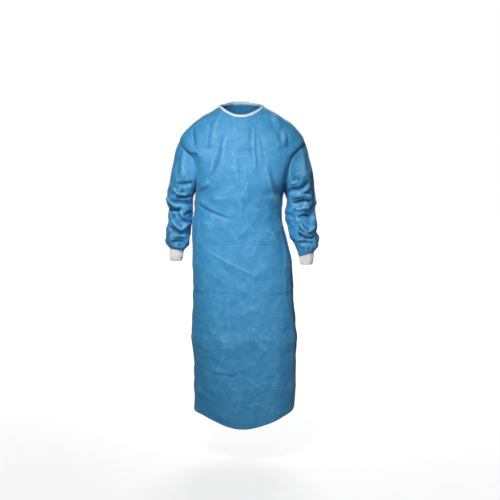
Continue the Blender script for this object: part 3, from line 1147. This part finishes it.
def build_seams(front, under, over, loops, blue, thread):
    """Ridges where the panels are sewn: over the shoulders, round the armholes and down the sides, each a flattened tube
    on the line between its two edges, with a row of stitches beside the shoulder and armhole ridges."""
    ridges, threads = [], []
    for side, back, column in ((-1, over, 0), (1, under, -1)):
        line = edge_path(front[:, column], back[:, 0])
        middle_out = np.array([side * 1.0, 0.0, 0.0])
        shoulder = line[: SHOULDER_ROWS + 1]
        up = np.broadcast_to(unit(np.array([side * 0.45, 0.0, 1.0])), shoulder.shape)
        ridges.append(swept_points(shoulder, up, 0.0030, 0.0011, 8))
        threads.append(thread_run(shoulder + np.array([0.0, -0.0042, 0.0003]), up, 0.0032, 0.00032, 0.0002))
        sides = line[SHOULDER_ROWS + ARMHOLE_ROWS :]
        out = np.broadcast_to(middle_out, sides.shape)
        ridges.append(swept_points(sides, out, 0.0026, 0.0010, 8))
        loop = loops[side]
        out = unit(loop - loop.mean(axis=0) + 0.09 * middle_out)
        ring = swept_points(loop + 0.0006 * middle_out, out, 0.0026, 0.0013, 8, closed=True)
        ridges.append(np.concatenate([ring, ring[:1]]))
        threads.append(thread_run(np.concatenate([loop, loop[:1]]) + 0.0044 * middle_out + 0.0008 * np.concatenate(
            [out, out[:1]]), np.concatenate([out, out[:1]]), 0.0032, 0.00032, 0.0003))
    points, faces = joined([(ridge, capped(ridge)) for ridge in ridges])
    uv = np.concatenate([arc_lengths(ridge).reshape(-1, 2) for ridge in ridges])
    face_uv = uv[np.concatenate([np.array(face) for face in faces])]
    seams = place(mesh_object("sewn_seams", points, faces, blue, face_uv), "gown_cloth")
    points, faces = joined(threads)
    return [seams, place(mesh_object("seam_stitches", points, faces, thread), "gown_cloth")]


def build_binding(front, under, over, tape, thread):
    """The neck tape: a flat closed section that straddles the panels' top edges, from one free end to the other."""
    edge = np.concatenate([under[0, ::-1], front[0, ::-1][1:-1], over[0]])
    below = np.concatenate([under[2, ::-1], front[2, ::-1][1:-1], over[2]])
    rise = unit(unit(edge - below) + np.array([0.0, 0.0, 1.0]))
    for _ in range(12):
        rise = unit(rise + np.concatenate([rise[:1], rise[:-1]]) + np.concatenate([rise[1:], rise[-1:]]))
    tangent = unit(np.gradient(edge, axis=0))
    out = unit(np.cross(rise, tangent))
    centre = edge + rise * (BINDING_HEIGHT / 2 - 0.0012)
    turns = np.arange(20) * math.pi / 10
    flat = np.sign(np.cos(turns)) * np.abs(np.cos(turns)) ** 0.5, np.sign(np.sin(turns)) * np.abs(np.sin(turns)) ** 0.8
    tall = (BINDING_HEIGHT / 2 + 0.0006) * flat[0][None, :, None] * rise[:, None]
    thick = BINDING_THICK / 2 * flat[1][None, :, None] * out[:, None]
    points = centre[:, None] + tall + thick
    faces = capped(points)
    uv = arc_lengths(points).reshape(-1, 2)[:, ::-1]
    made = mesh_object("neck_binding_tape", points, faces, tape, uv[np.concatenate([np.array(f) for f in faces])])
    place(made, "binding_tape", "neck_binding")
    run = edge - rise * 0.0001 + out * np.sign((out * (edge - edge.mean(axis=0))).sum()) * (BINDING_THICK / 2)
    points, faces = thread_run(run, rise * 0 + out * np.sign((out * (edge - edge.mean(axis=0))).sum()), 0.0034, 0.00034,
                               0.0001)
    stitches = place(mesh_object("neck_stitches", points, faces, thread), "binding_tape")
    return made, stitches


def build_sleeves(front, under, over, blue, knit, thread):
    made, loops = {}, {}
    for name, side, back in (("left", 1, under), ("right", -1, over)):
        loop = armhole_loop(side, front, back)
        loops[side] = loop
        folded, plain, crease = sleeve_cloth(name, side, loop)
        sleeve = grid_object("gown_sleeve_" + name, folded, blue, ring=True, flip=side > 0, values=crease)
        made["sleeve_" + name] = place(give_wall(sleeve, CLOTH_WALL), "gown_cloth", "sleeve_" + name)
        ring = plain[-1] - np.array([0.0, 0.0, 2 * SEAM_GAP])
        cuff = grid_object("ribbed_cuff_" + name, cuff_cloth(name, side, ring), knit, ring=True, flip=side > 0)
        made["cuff_" + name] = place(cuff, "ribbed_knit", "cuff_" + name)
        hem = plain[-1] - np.array([0.0, 0.0, 0.0016])
        band = swept_points(hem, unit(hem - hem.mean(axis=0)), 0.0026, 0.0021, 8, closed=True)
        band = grid_object("cuff_band_" + name, band, thread, ring=True, closed=True)
        made["band_" + name] = place(band, "ribbed_knit")
    return made, loops


def tie_strip(panel, normals, start, end, clear, gather):
    """A tie along the waist: its width narrows towards the knot as `gather` says, with lengthwise pleats there."""
    share = np.linspace(0.0, 1.0, 120)[None, :]
    across = np.linspace(-1.0, 1.0, 17)[:, None]
    narrow = 1 - gather * smooth_step((share - 0.72) / 0.28)
    places = start + (end - start) * share + 0 * across
    drops = WAIST_DROP + across * TIE_WIDTH / 2 * narrow + 0.0012 * np.sin(9 * share + 2)
    pleat = 0.0016 * np.cos(3 * math.pi * across) * smooth_step((share - 0.6) / 0.35)
    return on_panel(panel, normals, places, drops, clear(places) + pleat + 0.0004 * np.cos(math.pi * across))


def tail_strip(panel, normals, name):
    """A hanging end of the tie: gathered under the knot, opening out as it goes down, with slow waves along it."""
    share = np.linspace(0.0, 1.0, 90)[:, None]
    across = np.linspace(-1.0, 1.0, 17)[None, :]
    top, bottom = TAIL_PLACES[name]
    half = 0.16 + 0.27 * smooth_step(share / 0.30)
    middle = top + (bottom - top) * smooth_step(share * 0.9 + 0.05) + 0.06 * np.sin(7 * share)
    drops = WAIST_DROP + KNOT_HALF[2] - 0.004 + TAIL_LENGTH * share + 0.006 * across * share**4
    pleat = 0.0018 * np.cos(3 * math.pi * across) * (1 - smooth_step(share / 0.35))
    wave = 0.0016 * np.sin(11 * share + 1.5 * across) + 0.0012 * across * np.sin(5 * share)
    return on_panel(panel, normals, middle + half * across, drops + 0 * across, TIE_CLEAR + 0.0014 + pleat + wave)


def knot_band(centre):
    """The knot: a flat band along a trefoil, (sin t + 2 sin 2t, -sin 3t, cos t - 2 cos 2t), with a ribbed section."""
    t = np.arange(150) * 2 * math.pi / 150
    across, up = np.sin(t) + 2 * np.sin(2 * t), np.cos(t) - 2 * np.cos(2 * t)
    path = np.stack([across * 0.0047, -np.sin(3 * t) * 0.0040, up * 0.0041], axis=-1) + centre
    back = np.broadcast_to(np.array([0.0, 1.0, 0.0]), path.shape)
    _, sideways, out = frames_along(path, back, True)
    turns = np.arange(20) * math.pi / 10
    wide = np.cos(turns)[None, :, None] * 0.0050
    high = (np.sin(turns) * (1 + 0.22 * np.cos(6 * turns)))[None, :, None] * 0.0021
    return path[:, None] + wide * sideways[:, None] + high * out[:, None]


def build_closure(under, over, blue, tape, thread):
    """Waist ties, their knot and tails, and the neck tab: all on the over flap but the left tie."""
    under_out, over_out = grid_normals(under, 1), grid_normals(over, 1)

    def level(places):
        return np.full(places.shape, TIE_CLEAR)

    def over_the_step(places):
        return TIE_CLEAR + 2 * flap_lift(places * FLAP_COLUMN, 1)

    right = tie_strip(over, over_out, *TIE_PLACES, level, 0.55)
    left = tie_strip(under, under_out, *TIE_PLACES, over_the_step, 0.55)
    ties = {
        "right": give_wall(grid_object("waist_tie_right_band", right, blue, flip=True), 0.0011),
        "left": give_wall(grid_object("waist_tie_left_band", left, blue), 0.0011),
    }
    for name, made in ties.items():
        place(made, "gown_cloth", "waist_tie_" + name)
    middle = on_panel(over, over_out, np.array([9.0]), np.array([WAIST_DROP]), np.array([TIE_CLEAR]))[0]
    knot = grid_object("waist_knot_band", knot_band(middle + np.array([0.0, 0.0058, 0.0])), blue, ring=True, closed=True)
    place(knot, "gown_cloth", "waist_knot")
    tails = {}
    for name in TAIL_PLACES:
        strip = tail_strip(over, over_out, name)
        made = grid_object("tie_tail_%s_band" % name, strip, blue, flip=name == "left")
        tails[name] = place(give_wall(made, 0.0011), "gown_cloth", "tie_tail_" + name)
    return ties, knot, tails, build_tab(over, over_out, tape, thread)


def build_tab(over, over_out, tape, thread):
    """The neck tab: a strip with rounded corners (a superellipse laid on the flap), and a box of stitches round it."""
    share = np.linspace(0.02, 1.0, 22)[:, None]
    turns = np.linspace(0.0, 2 * math.pi, 97)[None, :-1]
    reach = (np.abs(np.cos(turns)) ** 7 + np.abs(np.sin(turns)) ** 7) ** (-1 / 7)
    middle_place, half_place = sum(TAB_PLACES) / 2, (TAB_PLACES[1] - TAB_PLACES[0]) / 2
    middle_drop, half_drop = sum(TAB_DROPS) / 2, (TAB_DROPS[1] - TAB_DROPS[0]) / 2

    def laid(size, lift):
        places = middle_place + half_place * size * reach * np.cos(turns)
        drops = middle_drop + half_drop * size * reach * np.sin(turns)
        return on_panel(over, over_out, places, drops, lift + 0 * places)

    tab = grid_object("neck_tab_strip", laid(share, 0.0020 - 0.0006 * share**8), tape, ring=True)
    place(give_wall(tab, 0.0011), "binding_tape", "neck_tab")
    run = laid(np.array([[0.84]]), 0.0021)[0]
    run = np.concatenate([run, run[:1]])
    points, faces = thread_run(run, np.broadcast_to(np.array([0.0, 1.0, 0.0]), run.shape), 0.0032, 0.00034, 0.0001)
    stitches = place(mesh_object("tab_stitches", points, faces, thread), "binding_tape")
    return tab, stitches


# ---------------------------------------------------------------------------------------------------------------
# Studio
# ---------------------------------------------------------------------------------------------------------------
def area_light(name, location, target, size, spread, power, colour):
    data = bpy.data.lights.new(name, "AREA")
    data.shape = "SQUARE"
    data.size = size
    data.spread = math.radians(spread)
    data.energy = power
    data.color = colour
    made = bpy.data.objects.new(name, data)
    made.location = location
    away = mathutils.Vector(location) - mathutils.Vector(target)
    made.rotation_euler = away.to_track_quat("Z", "Y").to_euler()
    bpy.context.scene.collection.objects.link(made)


def build_studio():
    floor = grid_object(
        "studio_floor",
        np.stack(np.meshgrid([-14.0, 14.0], [-14.0, 14.0], indexing="xy"), axis=-1)[..., [0, 1, 1]]
        * np.array([1.0, 1.0, 0.0]) - np.array([0.0, 0.0, FLOOR_DROP]),
        floor_finish(),
    )
    for light in LIGHTS:
        area_light(*light)
    world = bpy.data.worlds.new("white_surround")
    bpy.context.scene.world = world
    world.use_nodes = True
    tree = world.node_tree
    seen = tree.nodes["Background"]
    seen.inputs["Color"].default_value = (1.0, 1.0, 1.0, 1.0)
    rays = tree.nodes.new("ShaderNodeLightPath")
    strength = math_node(tree, "MULTIPLY_ADD", rays.outputs["Is Camera Ray"], 1.0 - WORLD_FILL, WORLD_FILL)
    tree.links.new(strength, seen.inputs["Strength"])
    bpy.context.scene.view_settings.view_transform = "Standard"
    camera = bpy.data.objects.new("camera", bpy.data.cameras.new("camera"))
    camera.data.lens = CAMERA_LENS
    camera.data.sensor_width = 36.0
    camera.location = CAMERA_PLACE
    camera.rotation_euler = (math.radians(90 - CAMERA_PITCH), 0.0, 0.0)
    bpy.context.scene.collection.objects.link(camera)
    bpy.context.scene.camera = camera


def main():
    web = web_group()
    blue = gown_cloth_finish(web)
    tape = tape_finish(web)
    knit = knit_finish(knit_group())
    blue_thread = thread_finish("blue_thread", (0.11, 0.36, 0.62, 1), (0.07, 0.26, 0.48, 1))
    white_thread = thread_finish("white_thread", (0.80, 0.80, 0.82, 1), (0.66, 0.68, 0.72, 1))
    front, under, over, panels = build_panels(blue)
    arms, loops = build_sleeves(front, under, over, blue, knit, white_thread)
    seams = build_seams(front, under, over, loops, blue, blue_thread)
    binding = build_binding(front, under, over, tape, white_thread)
    ties, knot, tails, tab = build_closure(under, over, blue, tape, white_thread)
    build_studio()


main()
